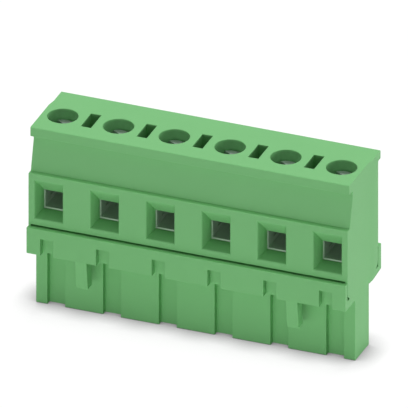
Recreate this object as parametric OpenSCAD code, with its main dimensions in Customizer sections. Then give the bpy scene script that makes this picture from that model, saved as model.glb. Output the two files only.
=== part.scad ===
// Plug-in terminal block with one row of screw clamps.
// An upper shell holds the clamping screws and their rising tension sleeves.
// A lower shell carries the spring contacts in a nose that plugs into a header.
// Frame: X along the row, conductor entries towards -Y, nose downwards, millimetres.
// Depths (names ending in _y) are measured from the plane of the screw axes.

/* [Row] */
// Number of poles in the row
poles = 6; // [2:1:12]
// Distance between the centres of neighbouring poles
pitch = 7.62; // [6.5:0.01:12.7]
// Thickness of the wall between an end chamber and the end face
end_wall = 0.7; // [0.6:0.05:3]
// Sideways step in both end faces, so that neighbouring plugs nest
nest_step = 0.2; // [0.1:0.05:0.3]
// Place of that step behind the screw axes
nest_y = 2.22; // [1:0.01:2.4]

/* [Screw] */
// Diameter of the screw's head
head_d = 3.5; // [3.4:0.1:4.6]
// Height of the screw's head
head_h = 1.8; // [1.2:0.1:2.6]
// Depth of the head below the top face
head_sink = 1.4; // [0.5:0.1:4]
// Outer diameter of the thread
screw_d = 3; // [2:0.1:3.2]
// Width of the driver slot
drive_w = 0.8; // [0.4:0.05:1.2]
// Depth of the driver slot
drive_depth = 0.9; // [0.4:0.05:1.1]
// Angle of the driver slot from the row
drive_angle = 150; // [0:5:180]
// Chamfer round the head and the tip
screw_chamfer = 0.2; // [0.05:0.05:0.4]

/* [Tension sleeve] */
// Width of the sleeve along the row
sleeve_w = 3.9; // [3.6:0.1:4.4]
// Length of the sleeve from front to back
sleeve_len = 5.4; // [4.4:0.1:7]
// Thickness of the sleeve's side walls
sleeve_wall = 0.6; // [0.4:0.05:0.65]
// Thickness of the sleeve's floor, which lifts the conductor
sleeve_floor = 0.7; // [0.4:0.05:1]
// Height of the threaded collar at the top of the sleeve
collar_h = 2; // [1.4:0.1:3]
// Radius of the sleeve's outer corners
sleeve_r = 0.4; // [0.1:0.05:0.6]
// Chamfer round the mouth of the sleeve
mouth_chamfer = 0.14; // [0.05:0.01:0.3]
// Height of the open clamping space under the current bar
wire_gap = 2.56; // [2.45:0.01:4]
// Height of the space between the current bar and the collar
over_bar = 1.1; // [0.3:0.1:3]
// Travel of the sleeve from open to closed
lift = 2.4; // [1:0.1:2.4]

/* [Contact] */
// Width of the contact strip
strip_w = 2.4; // [1.8:0.1:2.5]
// Thickness of the contact strip
strip_t = 0.5; // [0.3:0.05:0.6]
// Height of the top of the current bar above the carrier's floor
bar_h = 7.4; // [6.6:0.1:9]
// Bend radius of the strip at its centreline
bend_r = 0.6; // [0.4:0.05:0.9]
// Width of the spring leaves from front to back
leaf_w = 2; // [1.4:0.1:2.6]
// Gap between the spring leaves at their pinch
pinch_gap = 0.7; // [0.3:0.05:0.9]
// Gap between the tips of the spring leaves
tip_gap = 1.3; // [1:0.05:1.5]
// Height of the pinch above the tips of the leaves
pinch_rise = 1.8; // [1:0.1:3]
// Place of the spring behind the screw axis
spring_y = 0.5; // [0.3:0.05:0.9]

/* [Screw housing] */
// Thickness of the front wall at the conductor entries
front_wall = 2.175; // [1.6:0.005:4]
// Thickness of the back wall behind the contacts
back_wall = 1.71; // [1:0.01:4]
// Distance of the top face's front edge behind the front wall
top_setback = 0.665; // [0.3:0.005:1]
// Overhang of the top plate over the back wall
top_overhang = 0.82; // [0.3:0.01:2]
// Height of the top plate's front edge
lip_front_h = 1.37; // [0.8:0.01:1.8]
// Height of the top plate's back edge
lip_back_h = 1.2; // [0.8:0.01:3]
// Depth of the recess under the front of the top plate
undercut = 1.16; // [0.6:0.01:1.3]
// Distance from the top face down to the start of the sloping front
slope_drop = 2.3; // [2:0.05:3]
// Depth of the ledge at the foot of the sloping front
ledge = 0.815; // [0.4:0.005:1.2]
// Height of the wall between the conductor entries and the ledge
brow = 0.81; // [0.4:0.01:1.2]
// Height of the wall between the conductor entries and the seam
sill = 1.05; // [0.6:0.01:1.5]
// Distance that the entry's throat stands back from the sleeve's mouth, at the sides
throat_side = 0.25; // [0.1:0.01:0.5]
// Distance that the entry's throat stands back from the sleeve's mouth, at the bottom
throat_drop = 0.39; // [0.1:0.01:0.5]
// Widening of the entry towards the front, on each side
flare_side = 0.4; // [0.1:0.05:0.8]
// Widening of the entry towards the front, upwards
flare_top = 2.35; // [1:0.05:2.8]
// Widening of the entry towards the front, downwards
flare_bottom = 0.35; // [0.1:0.05:0.8]
// Width of the slots between the poles in the top face
slot_w = 1.4; // [0.8:0.1:1.6]
// Length of those slots from front to back
slot_len = 3.65; // [2:0.05:5]
// Depth of those slots
slot_depth = 9; // [4:0.5:12]
// Place of the slots behind the screw axes
slot_y = 0.12; // [-0.5:0.01:0.5]
// Radius of the shell's long edges
edge_r = 0.15; // [0.05:0.01:0.25]
// Height of the shadow gap at the seam between the shells
seam_h = 0.35; // [0.2:0.01:0.5]
// Depth of that shadow gap
seam_depth = 0.6; // [0.1:0.01:0.8]
// Chamfer along the bottom edges of the housing
seat_chamfer = 0.3; // [0.1:0.05:0.5]

/* [Contact carrier] */
// Height of the nose that plugs into the header
nose_h = 8.73; // [7:0.01:12]
// Thickness of the carrier's floor
floor_t = 1.17; // [0.8:0.01:2]
// Thickness of the front plate
front_plate = 0.7; // [0.5:0.01:1.5]
// Thickness of the back plate
back_plate = 1.02; // [0.6:0.01:2]
// Height of the back plate above the front plate
back_rise = 0.3; // [0:0.05:0.6]
// Rise of the floor's underside from the nose to the back plate
under_rise = 0.4; // [0:0.05:0.6]
// Thickness of the nose's walls round the spring cavities
nose_wall = 0.6; // [0.4:0.05:1.2]
// Thickness of the nose's bottom
nose_bottom = 1.2; // [0.8:0.1:2]
// Width of the grooves down the front of the nose
groove_w = 2.44; // [1.6:0.02:3]
// Depth of those grooves
groove_d = 0.83; // [0.3:0.01:1.2]
// Width of the square entry for a header pin
pin_entry = 1.4; // [1.1:0.1:1.8]
// Width of the chamfer round a pin entry
entry_flare = 0.35; // [0.1:0.05:0.6]
// Width of the latch notches in the front plate
notch_w = 1.75; // [1:0.05:3]
// Height of those notches
notch_h = 2.38; // [1.5:0.01:2.8]
// Depth of those notches
notch_d = 1; // [0.75:0.01:1.5]
// Width of a latching hook
hook_w = 1.6; // [1:0.05:3]
// Length of a latching hook below the carrier's floor
hook_len = 3.93; // [2:0.01:6]
// Thickness of a latching hook at its root
hook_t = 1.75; // [1:0.05:2.2]
// Thickness of a latching hook at its tip
hook_tip_t = 1.5; // [0.8:0.05:1.7]
// Distance that a hook's front leans back at its tip
hook_lean = 0.5; // [0:0.05:0.7]
// Distance of a hook's centre from the end face
hook_inset = 7.4; // [2:0.1:8]
// Thickness of the stops under the sleeves
stop_t = 1; // [0.6:0.1:1.1]

/* [Clearances] */
// Radial gap between a screw's head and its hole
head_gap = 0.25; // [0.05:0.01:0.3]
// Radial gap between the screw and the sleeve's collar
thread_gap = 0.05; // [0.02:0.01:0.09]
// Gap between the screw's tip and the current bar
seat_gap = 0.05; // [0.02:0.01:0.1]
// Gap round a sleeve in its chamber, on each side
sleeve_gap = 0.1; // [0.05:0.01:0.2]
// Gap between the raised sleeve and the screw's head
lift_gap = 0.3; // [0.2:0.05:0.5]
// Gap between a sleeve and the contact's leg behind it
leg_gap = 0.3; // [0.15:0.05:0.5]
// Gap between a sleeve at rest and the stop below it
stop_gap = 0.1; // [0.05:0.01:0.3]
// Gap round a contact in the shells, on each side
strip_gap = 0.1; // [0.05:0.01:0.2]
// Gap round a spring in its cavity, on each side
cavity_gap = 0.35; // [0.2:0.05:0.5]
// Gap between the housing's foot and the carrier's plates
fit_gap = 0.03; // [0.02:0.01:0.06]

/* [Hidden] */

shell_green = "#78BC78";
carrier_green = "#70B271";
zinc = "#C9CCCE";
nickel = "#B8BABC";
tin = "#D2CFC8";
$fn = 48;

// Length by which cutting bodies reach past the faces that they cut
over = 1;

// Heights, from the bottom of the nose
floor_z = nose_h + floor_t;
bar_top = floor_z + bar_h;
bar_under = bar_top - strip_t;
window_bottom = bar_under - wire_gap;
window_top = bar_top + over_bar;
sleeve_bottom = window_bottom - sleeve_floor;
sleeve_top = window_top + collar_h;
head_bottom = sleeve_top + lift + lift_gap;
head_top = head_bottom + head_h;
top_z = head_top + head_sink;
chamber_top = sleeve_top + lift + lift_gap / 2;
relief_bottom = bar_top - lift;
throat_bottom = window_bottom - throat_drop;
entry_bottom = throat_bottom - flare_bottom;
entry_top = bar_under + flare_top;
ledge_z = entry_top + brow;
seam_z = entry_bottom - sill;
plate_top_back = seam_z + back_rise;

// Depths, from the plane of the screw axes
chamber_y = sleeve_len / 2 + sleeve_gap;
leg_y = sleeve_len / 2 + leg_gap;
channel_y = leg_y + strip_t + strip_gap;
wall_front_y = -chamber_y - front_wall;
wall_back_y = channel_y + back_wall;
top_front_y = wall_front_y + top_setback;
top_back_y = wall_back_y + top_overhang;
undercut_y = top_front_y + undercut;
slope_foot_y = wall_front_y + ledge;
plate_front_y = wall_front_y - front_plate;
plate_back_y = wall_back_y + back_plate;
cavity_half_y = leaf_w / 2 + cavity_gap;
nose_back_y = spring_y + cavity_half_y + nose_wall;
groove_y = spring_y - cavity_half_y - nose_wall;
nose_front_y = groove_y - groove_d;

// Widths, along the row
chamber_half_w = sleeve_w / 2 + sleeve_gap;
channel_half_w = strip_w / 2 + strip_gap;
cavity_half_w = strip_w / 2 + cavity_gap;
end_margin = chamber_half_w + end_wall;
row_w = (poles - 1) * pitch + 2 * end_margin;

// The frame's origin lies at the centre of the overall outline
left_x = -(row_w + nest_step) / 2;
axis_y = -(plate_front_y + plate_back_y) / 2;

function pole_x(i) = left_x + end_margin + (i - 1) * pitch;

// Points along an arc, with its ends
function arc(centre, radius, from, to, steps = 5) =
    [for (k = [0:steps]) let (a = from + (to - from) * k / steps) centre + radius * [cos(a), sin(a)]];

function unit(v) = v / norm(v);

// Point k of a path, moved sideways along the mitre so that a strip keeps its thickness
function beside(path, k, distance) =
    let (
        into = k > 0 ? unit(path[k] - path[k - 1]) : unit(path[1] - path[0]),
        out = k < len(path) - 1 ? unit(path[k + 1] - path[k]) : into,
        mitre = unit(into + out)
    )
    path[k] + [-mitre[1], mitre[0]] * distance / (mitre * out);

function mirrored(path) = [for (k = [len(path) - 1:-1:0]) [-path[k][0], path[k][1]]];

// Outline of a bent strip of even thickness along a path
module bent_strip(path, thickness) {
    last = len(path) - 1;
    polygon(concat(
        [for (k = [0:last]) beside(path, k, thickness / 2)],
        [for (k = [last:-1:0]) beside(path, k, -thickness / 2)]
    ));
}

// Drawn in the (Y, Z) plane and extruded along X, from the given X
module along_row(from, length) {
    translate([from, axis_y, 0])
        rotate([90, 0, 90])
            linear_extrude(length)
                children();
}

// Drawn in the (X, Z) plane and extruded along Y, about the given depth
module across_row(depth, middle = 0) {
    translate([0, middle, 0])
        rotate([90, 0, 0])
            linear_extrude(depth, center = true)
                children();
}

module at_pole(i) {
    translate([pole_x(i), axis_y, 0])
        children();
}

// A row-long body whose part behind nest_y is shifted sideways by the nesting step
module nested_row() {
    reach = plate_back_y + over;
    along_row(left_x, row_w)
        intersection() {
            children();
            translate([-reach - 2 * over, -over])
                square([nest_y + reach + 2 * over, top_z + 2 * over]);
        }
    along_row(left_x + nest_step, row_w)
        intersection() {
            children();
            translate([nest_y, -over])
                square([reach, top_z + 2 * over]);
        }
}

module rounded_corners(radius) {
    offset(r = radius, $fn = 24)
        offset(delta = -radius)
            children();
}

module rect(x0, y0, x1, y1) {
    translate([x0, y0])
        square([x1 - x0, y1 - y0]);
}

module block(x0, y0, z0, x1, y1, z1) {
    translate([x0, y0, z0])
        cube([x1 - x0, y1 - y0, z1 - z0]);
}

// A value a tenth of the way past a, coming from b
function past(a, b) = a + (a - b) / 10;

// A rectangular passage along Y that narrows evenly from y0 to y1.
// Each end is [half width, bottom, top]. It is cut a tenth longer at both ends.
module tapered_passage(y0, end0, y1, end1) {
    y_a = past(y0, y1);
    y_b = past(y1, y0);
    a = past(end0, end1);
    b = past(end1, end0);
    half = max(a[0], b[0]) + over;
    intersection() {
        translate([-half, 0, 0])
            rotate([90, 0, 90])
                linear_extrude(2 * half)
                    polygon([[y_a, a[1]], [y_b, b[1]], [y_b, b[2]], [y_a, a[2]]]);
        translate([0, 0, min(a[1], b[1]) - over])
            linear_extrude(max(a[2], b[2]) - min(a[1], b[1]) + 2 * over)
                polygon([[-a[0], y_a], [a[0], y_a], [b[0], y_b], [-b[0], y_b]]);
    }
}

// Upper shell

module housing_outline() {
    foot_front_y = wall_front_y + fit_gap;
    foot_back_y = wall_back_y - fit_gap;
    rounded_corners(edge_r)
        polygon([
            [top_front_y, top_z],
            [top_front_y, top_z - lip_front_h],
            [undercut_y, top_z - lip_front_h],
            [undercut_y, top_z - slope_drop],
            [slope_foot_y, ledge_z],
            [wall_front_y, ledge_z],
            [wall_front_y, seam_z],
            [foot_front_y, seam_z],
            [foot_front_y, floor_z + seat_chamfer],
            [foot_front_y + seat_chamfer, floor_z],
            [foot_back_y - seat_chamfer, floor_z],
            [foot_back_y, floor_z + seat_chamfer],
            [foot_back_y, plate_top_back],
            [wall_back_y, plate_top_back],
            [wall_back_y, top_z - lip_back_h],
            [top_back_y, top_z - lip_back_h],
            [top_back_y, top_z]
        ]);
}

module conductor_entry() {
    tapered_passage(
        wall_front_y,
        [sleeve_w / 2 - sleeve_wall + throat_side + flare_side, entry_bottom, entry_top],
        -chamber_y,
        [sleeve_w / 2 - sleeve_wall + throat_side, throat_bottom, bar_under]
    );
}

// The hollow of one pole: driver hole, sleeve chamber, contact channel, conductor entry
module pole_hollow() {
    translate([0, 0, chamber_top - over])
        cylinder(d = head_d + 2 * head_gap, h = top_z - chamber_top + 2 * over);
    block(
        -chamber_half_w, -chamber_y, floor_z - over,
        chamber_half_w, chamber_y, chamber_top
    );
    block(
        -channel_half_w, 0, floor_z - over,
        channel_half_w, channel_y, bar_top + strip_gap
    );
    conductor_entry();
}

// Dark gap along the foot of the front and back walls, just above the carrier's plates
module seam_gaps() {
    along_row(left_x - over, row_w + 2 * over + nest_step) {
        rect(wall_front_y - over, seam_z, wall_front_y + seam_depth, seam_z + seam_h);
        rect(wall_back_y - seam_depth, plate_top_back, wall_back_y + over, plate_top_back + seam_h);
    }
}

module latch_pocket() {
    block(
        -notch_w / 2, wall_front_y - over, floor_z - over,
        notch_w / 2, plate_front_y + notch_d, nose_h + notch_h
    );
}

module top_slot() {
    block(
        -slot_w / 2, slot_y - slot_len / 2, top_z - slot_depth,
        slot_w / 2, slot_y + slot_len / 2, top_z + over
    );
}

module screw_housing() {
    color(shell_green)
        difference() {
            nested_row()
                housing_outline();
            for (i = [1:poles])
                at_pole(i) {
                    pole_hollow();
                    latch_pocket();
                }
            for (i = [1:poles - 1])
                at_pole(i + 0.5)
                    top_slot();
            seam_gaps();
        }
}

// Lower shell

module tray_outline() {
    rounded_corners(edge_r)
        polygon([
            [plate_front_y, nose_h],
            [nose_back_y, nose_h],
            [plate_back_y, nose_h + under_rise],
            [plate_back_y, plate_top_back],
            [wall_back_y, plate_top_back],
            [wall_back_y, floor_z],
            [wall_front_y, floor_z],
            [wall_front_y, seam_z],
            [plate_front_y, seam_z]
        ]);
}

module nose_outline() {
    rounded_corners(edge_r)
        rect(nose_front_y, 0, nose_back_y, nose_h + floor_t / 2);
}

module hook_outline() {
    root_z = nose_h + floor_t / 2;
    tip_z = nose_h - hook_len;
    polygon([
        [plate_front_y, root_z],
        [plate_front_y, nose_h],
        [plate_front_y + hook_lean, tip_z],
        [plate_front_y + hook_lean + hook_tip_t, tip_z],
        [plate_front_y + hook_t, nose_h],
        [plate_front_y + hook_t, root_z]
    ]);
}

module hooks() {
    for (x = [left_x + hook_inset, left_x + row_w - hook_inset])
        along_row(x - hook_w / 2, hook_w)
            hook_outline();
}

// Post that closes the chamber from below and stops the sleeve
module sleeve_stop() {
    block(
        -chamber_half_w + 2 * sleeve_gap, -chamber_y + 2 * sleeve_gap, floor_z - floor_t / 2,
        chamber_half_w - 2 * sleeve_gap, -chamber_y + 2 * sleeve_gap + stop_t, sleeve_bottom - stop_gap
    );
}

module spring_cavity() {
    block(
        -cavity_half_w, spring_y - cavity_half_y, nose_bottom,
        cavity_half_w, spring_y + cavity_half_y, floor_z + over
    );
}

module pin_entry_hole() {
    half = pin_entry / 2;
    block(-half, spring_y - half, -over, half, spring_y + half, nose_bottom + over);
    translate([0, spring_y, 0])
        rotate([-90, 0, 0])
            tapered_passage(
                -entry_flare, [half, -half, half],
                entry_flare, [half + 2 * entry_flare, -half - 2 * entry_flare, half + 2 * entry_flare]
            );
}

module front_groove() {
    block(-groove_w / 2, nose_front_y - over, -over, groove_w / 2, groove_y, nose_h);
}

module latch_notch() {
    block(
        -notch_w / 2, plate_front_y - over, nose_h - over,
        notch_w / 2, plate_front_y + notch_d, nose_h + notch_h
    );
}

module contact_carrier() {
    color(carrier_green)
        difference() {
            union() {
                nested_row()
                    tray_outline();
                along_row(left_x, row_w)
                    nose_outline();
                hooks();
                for (i = [1:poles])
                    at_pole(i)
                        sleeve_stop();
            }
            for (i = [1:poles])
                at_pole(i) {
                    spring_cavity();
                    pin_entry_hole();
                    front_groove();
                    latch_notch();
                }
        }
}

// Clamping screw, with its thread as a plain cylinder over the crests
module screw(i) {
    head_r = head_d / 2;
    screw_r = screw_d / 2;
    tip_z = bar_top + seat_gap;
    color(zinc)
        at_pole(i)
            difference() {
                rotate_extrude()
                    polygon([
                        [0, tip_z],
                        [screw_r - screw_chamfer, tip_z],
                        [screw_r, tip_z + screw_chamfer],
                        [screw_r, head_bottom],
                        [head_r, head_bottom],
                        [head_r, head_top - screw_chamfer],
                        [head_r - screw_chamfer, head_top],
                        [0, head_top]
                    ]);
                rotate([0, 0, drive_angle])
                    block(
                        -head_r - over, -drive_w / 2, head_top - drive_depth,
                        head_r + over, drive_w / 2, head_top + over
                    );
            }
}

// Rising clamp: a closed frame that the screw lifts along its thread.
// The bore runs on down the side walls, as far as the screw's tip reaches into the raised frame.
module sleeve(i) {
    window_half = sleeve_w / 2 - sleeve_wall;
    front = -sleeve_len / 2;
    color(nickel)
        at_pole(i)
            difference() {
                across_row(sleeve_len)
                    rounded_corners(sleeve_r)
                        rect(-sleeve_w / 2, sleeve_bottom, sleeve_w / 2, sleeve_top);
                across_row(sleeve_len + 2 * over)
                    rect(-window_half, window_bottom, window_half, window_top);
                tapered_passage(
                    front - mouth_chamfer,
                    [
                        window_half + 2 * mouth_chamfer,
                        window_bottom - 2 * mouth_chamfer,
                        window_top + 2 * mouth_chamfer
                    ],
                    front + mouth_chamfer,
                    [window_half, window_bottom, window_top]
                );
                translate([0, 0, relief_bottom])
                    cylinder(d = screw_d + 2 * thread_gap, h = sleeve_top + over - relief_bottom);
            }
}

// Stamped contact: current bar, leg behind the sleeve, bridge, and two spring leaves
module contact(i) {
    leg_mid = leg_y + strip_t / 2;
    bar_mid = bar_top - strip_t / 2;
    bridge_mid = floor_z + strip_t / 2;
    bar_front = -sleeve_len / 2 + leg_gap;
    bridge_front = spring_y - cavity_half_y - nose_wall / 2;
    lead_path = concat(
        [[bar_front, bar_mid]],
        arc([leg_mid - bend_r, bar_mid - bend_r], bend_r, 90, 0),
        arc([leg_mid - bend_r, bridge_mid + bend_r], bend_r, 0, -90),
        [[bridge_front, bridge_mid]]
    );
    leaf_mid = (strip_w - strip_t) / 2;
    leaf_bend = bend_r * 2 / 3;
    tip_z = nose_bottom + cavity_gap;
    leaf_path = concat(
        [
            [(tip_gap + strip_t) / 2, tip_z],
            [(pinch_gap + strip_t) / 2, tip_z + pinch_rise],
            [leaf_mid, nose_h]
        ],
        arc([leaf_mid - leaf_bend, bridge_mid - leaf_bend], leaf_bend, 0, 90)
    );
    color(tin)
        at_pole(i) {
            rotate([90, 0, 90])
                linear_extrude(strip_w, center = true)
                    bent_strip(lead_path, strip_t);
            across_row(leaf_w, spring_y)
                bent_strip(concat(leaf_path, mirrored(leaf_path)), strip_t);
        }
}

screw_housing();
contact_carrier();
for (i = [1:poles]) {
    screw(i);
    sleeve(i);
    contact(i);
}
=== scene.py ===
"""Pluggable terminal block with one row of screw clamps, dressed over its CAD frame.

The block has two moulded shells. The upper one holds the clamping screws and their rising
tension sleeves, the lower one carries the spring contacts in a nose that plugs into a header.
Each sub-assembly is a class: its sizes are fields, in millimetres, and its methods build its
meshes and dress them. Planes that several pieces share come from the boxes of the CAD nodes.
"""

from __future__ import annotations

import logging
import math
from abc import ABC, abstractmethod
from collections.abc import Callable, Iterable, Sequence
from dataclasses import dataclass, replace
from enum import Enum

import bmesh
import bpy
from bmesh.types import BMEdge, BMesh, BMFace, BMVert
from mathutils import Matrix, Vector

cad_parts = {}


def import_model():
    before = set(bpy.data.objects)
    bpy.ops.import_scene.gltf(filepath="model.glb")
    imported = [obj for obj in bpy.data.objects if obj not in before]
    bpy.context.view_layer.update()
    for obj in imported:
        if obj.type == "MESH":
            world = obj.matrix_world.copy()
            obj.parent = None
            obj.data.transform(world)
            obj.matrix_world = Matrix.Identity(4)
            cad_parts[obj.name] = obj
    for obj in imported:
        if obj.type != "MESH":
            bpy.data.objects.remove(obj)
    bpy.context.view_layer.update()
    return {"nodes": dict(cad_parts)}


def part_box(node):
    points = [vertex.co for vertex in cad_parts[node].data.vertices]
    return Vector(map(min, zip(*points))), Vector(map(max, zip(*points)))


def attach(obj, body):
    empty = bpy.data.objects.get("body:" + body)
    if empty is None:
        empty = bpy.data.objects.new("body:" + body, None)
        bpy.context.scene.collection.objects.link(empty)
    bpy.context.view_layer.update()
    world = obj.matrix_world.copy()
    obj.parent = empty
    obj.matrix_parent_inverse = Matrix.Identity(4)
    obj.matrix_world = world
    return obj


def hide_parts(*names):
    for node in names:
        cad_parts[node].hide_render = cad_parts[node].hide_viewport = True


LOG = logging.getLogger("terminal_block")

MM = 0.001
# Edges that turn by more than this stay crisp in shading
CRISP_ANGLE = math.radians(35)
# Faces that turn by less than this are one flat face
FLAT_ANGLE = 1e-3
# Points nearer than this are one point
SAME_POINT = 1e-4
# Points nearer than this to a plane lie on it
ON_PLANE = 1e-5
# Length by which a cutting shape reaches past the face that it cuts
OVER = 1.0
# Steps round a rolled edge of a moulding
ROLL_STEPS = 3
# Steps round a fold of a strip
FOLD_STEPS = 6
# Steps round a bore or a turned piece
TURN_STEPS = 64
# Nearly all values of a noise lie between these two
NOISE_RANGE = (0.3, 0.7)
# CAD body that carries both shells and all contacts
SHELLS = "shells"

Profile = Sequence[tuple[float, ...]]
Colour = tuple[float, float, float, float]


class Slot(Enum):
    """Names of material slots, which nothing in this script gives to the pieces."""

    HOUSING = "housing_plastic"
    CARRIER = "carrier_plastic"
    SCREW = "screw_zinc"
    SLEEVE = "sleeve_nickel"
    CONTACT = "contact_tin"


class Join(Enum):
    """Ways to combine two closed shapes."""

    CUT = "DIFFERENCE"
    WELD = "UNION"


class Axis(Enum):
    """Direction in which a passage is sunk, with the axes across it."""

    BACKWARD = (1, 0, 2, 1.0)
    DOWNWARD = (2, 0, 1, -1.0)
    UPWARD = (2, 0, 1, 1.0)

    @property
    def along(self) -> int:
        """Index of the axis along the passage."""
        return self.value[0]

    @property
    def across(self) -> tuple[int, int]:
        """Indices of the two axes across the passage."""
        return self.value[1], self.value[2]

    @property
    def sign(self) -> float:
        """Sense of the passage along its axis."""
        return self.value[3]


# Shaping


def turn_angle(edge: BMEdge) -> float:
    """Returns the angle by which the surface turns at an edge."""
    return edge.calc_face_angle(0.0)


def extruded(bm: BMesh, faces: Sequence[BMFace], keep: bool) -> list[BMFace]:
    """Extrudes faces in place.

    Args:
        bm: Mesh that holds the faces.
        faces: Faces to extrude.
        keep: Whether they stay, as the cap of a closed body.

    Returns:
        The new faces, ready to be moved.
    """
    made = bmesh.ops.extrude_face_region(bm, geom=faces, use_keep_orig=keep)
    if not keep:
        bmesh.ops.delete(bm, geom=faces, context="FACES_ONLY")
    return [item for item in made["geom"] if isinstance(item, BMFace)]


def corners_of(faces: Iterable[BMFace]) -> list[BMVert]:
    """Returns the vertices of some faces, each once."""
    return list({vert for face in faces for vert in face.verts})


def bar_of(profile: Profile, start: float, length: float) -> BMesh:
    """Makes a bar along X from its cross-section.

    Args:
        profile: Corners (y, z), each with an optional radius that rounds it.
        start: X of the first end.
        length: Length of the bar.

    Returns:
        A closed mesh with outward faces.
    """
    bm = bmesh.new()
    corners = [bm.verts.new((start, point[0], point[1])) for point in profile]
    face = bm.faces.new(corners)
    for corner, point in zip(corners, profile):
        if len(point) == 3:
            round_corner(bm, corner, point[2])
    cap = extruded(bm, list(bm.faces), keep=True)
    bmesh.ops.translate(bm, vec=(length, 0, 0), verts=corners_of(cap))
    bmesh.ops.recalc_face_normals(bm, faces=bm.faces)
    return bm


def round_corner(bm: BMesh, corner: BMVert, radius: float, steps: int = 4) -> None:
    """Rounds one corner of a flat outline.

    Args:
        bm: Mesh that holds the outline.
        corner: Vertex at the corner.
        radius: Radius of the rounding.
        steps: Steps round it.
    """
    first, second = (edge.other_vert(corner).co - corner.co for edge in corner.link_edges)
    setback = radius / math.tan(first.angle(second) / 2)
    bmesh.ops.bevel(
        bm,
        geom=[corner],
        offset=setback,
        segments=steps,
        profile=0.5,
        affect="VERTICES",
        material=-1,
        clamp_overlap=False,
    )


def roll_edges(
    bm: BMesh,
    radius: float,
    wanted: Callable[[BMEdge], bool] = lambda edge: True,
    steps: int = ROLL_STEPS,
) -> None:
    """Rolls the crisp edges of a body.

    Args:
        bm: Mesh of the body.
        radius: Radius of the rolled edge.
        wanted: Test that an edge has to pass.
        steps: Steps round the edge.
    """
    edges = [edge for edge in bm.edges if turn_angle(edge) > CRISP_ANGLE and wanted(edge)]
    bmesh.ops.bevel(
        bm,
        geom=edges,
        offset=radius,
        segments=steps,
        profile=0.5,
        affect="EDGES",
        material=-1,
        clamp_overlap=True,
    )


@dataclass(frozen=True)
class Opening:
    """Rectangle of a passage at one depth, in the two axes across it."""

    at: float
    low: tuple[float, float]
    high: tuple[float, float]

    def grown(self, by: float) -> Opening:
        """Moves the sides of the opening outwards.

        Args:
            by: Distance by which each side moves.

        Returns:
            The larger opening.
        """
        return Opening(
            self.at,
            (self.low[0] - by, self.low[1] - by),
            (self.high[0] + by, self.high[1] + by),
        )

    def towards(self, other: Opening, share: float) -> Opening:
        """Moves the opening towards another one.

        Args:
            other: Opening at the end of the way.
            share: Share of the way, below zero to move off.

        Returns:
            The moved opening.
        """

        def between(a: float, b: float) -> float:
            """Returns the value at that share from a to b."""
            return a + (b - a) * share

        return Opening(
            between(self.at, other.at),
            (between(self.low[0], other.low[0]), between(self.low[1], other.low[1])),
            (between(self.high[0], other.high[0]), between(self.high[1], other.high[1])),
        )


def passage(bm: BMesh, axis: Axis, mouth: Opening, end: Opening, rolled: float) -> None:
    """Adds the shape of a passage that tapers from its mouth to its end.

    Args:
        bm: Mesh that takes the shape.
        axis: Direction of the passage.
        mouth: Opening in the surface.
        end: Opening at the far end.
        rolled: Radius of the rolled edge round the mouth, or zero.
    """
    depth = abs(end.at - mouth.at)
    stations = [Opening(mouth.at - axis.sign * OVER, mouth.low, mouth.high).grown(rolled)]
    if rolled:
        for step in range(ROLL_STEPS + 1):
            angle = math.pi / 2 * step / ROLL_STEPS
            sunk = rolled * (1 - math.cos(angle))
            stations.append(mouth.towards(end, sunk / depth).grown(rolled * (1 - math.sin(angle))))
    stations.append(end)
    loft(bm, axis, stations)


def loft(bm: BMesh, axis: Axis, stations: Sequence[Opening]) -> None:
    """Adds a closed body that runs through rectangular openings.

    Args:
        bm: Mesh that takes the body.
        axis: Direction of the body.
        stations: Openings in order.
    """
    one, two = axis.across
    others = set(bm.faces)
    start, corners = stations[0], []
    (left, low), (right, high) = start.low, start.high
    for across in ((left, low), (right, low), (right, high), (left, high)):
        place = Vector()
        place[axis.along] = start.at
        place[one], place[two] = across
        corners.append(bm.verts.new(place))
    face = bm.faces.new(corners)
    for number, station in enumerate(stations[1:]):
        face = extruded(bm, [face], keep=number == 0)[0]
        middle = face.calc_center_median()
        for vert in face.verts:
            beyond, above = vert.co[one] > middle[one], vert.co[two] > middle[two]
            vert.co[axis.along] = station.at
            vert.co[one] = station.high[0] if beyond else station.low[0]
            vert.co[two] = station.high[1] if above else station.low[1]
    bmesh.ops.recalc_face_normals(bm, faces=list(set(bm.faces) - others))


def block(bm: BMesh, low: Sequence[float], high: Sequence[float]) -> None:
    """Adds a plain block.

    Args:
        bm: Mesh that takes the block.
        low: Its lowest corner.
        high: Its highest corner.
    """
    size = Vector(high) - Vector(low)
    place = Matrix.Translation((Vector(high) + Vector(low)) / 2) @ Matrix.Diagonal((*size, 1))
    bmesh.ops.create_cube(bm, size=1, matrix=place)


def turned(bm: BMesh, outline: Profile, centre: Vector, steps: int = TURN_STEPS) -> None:
    """Adds a body of revolution about a vertical axis.

    Args:
        bm: Mesh that takes the body.
        outline: Points (radius, height) from axis to axis.
        centre: Place of the axis.
        steps: Steps round the body.
    """
    verts = [bm.verts.new((centre.x + r, centre.y, centre.z + z)) for r, z in outline]
    edges = [bm.edges.new(pair) for pair in zip(verts, verts[1:])]
    bmesh.ops.spin(
        bm,
        geom=[*verts, *edges],
        cent=centre,
        axis=(0, 0, 1),
        angle=math.tau,
        steps=steps,
        use_merge=True,
        use_duplicate=False,
    )
    bmesh.ops.remove_doubles(bm, verts=bm.verts, dist=SAME_POINT)
    bmesh.ops.recalc_face_normals(bm, faces=bm.faces)


def absorb(bm: BMesh, other: BMesh) -> None:
    """Adds a second mesh to the first.

    Args:
        bm: Mesh that takes the other one.
        other: Mesh that is added and freed.
    """
    mesh = bpy.data.meshes.new("passed_on")
    other.to_mesh(mesh)
    other.free()
    bm.from_mesh(mesh)
    bpy.data.meshes.remove(mesh)


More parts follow.
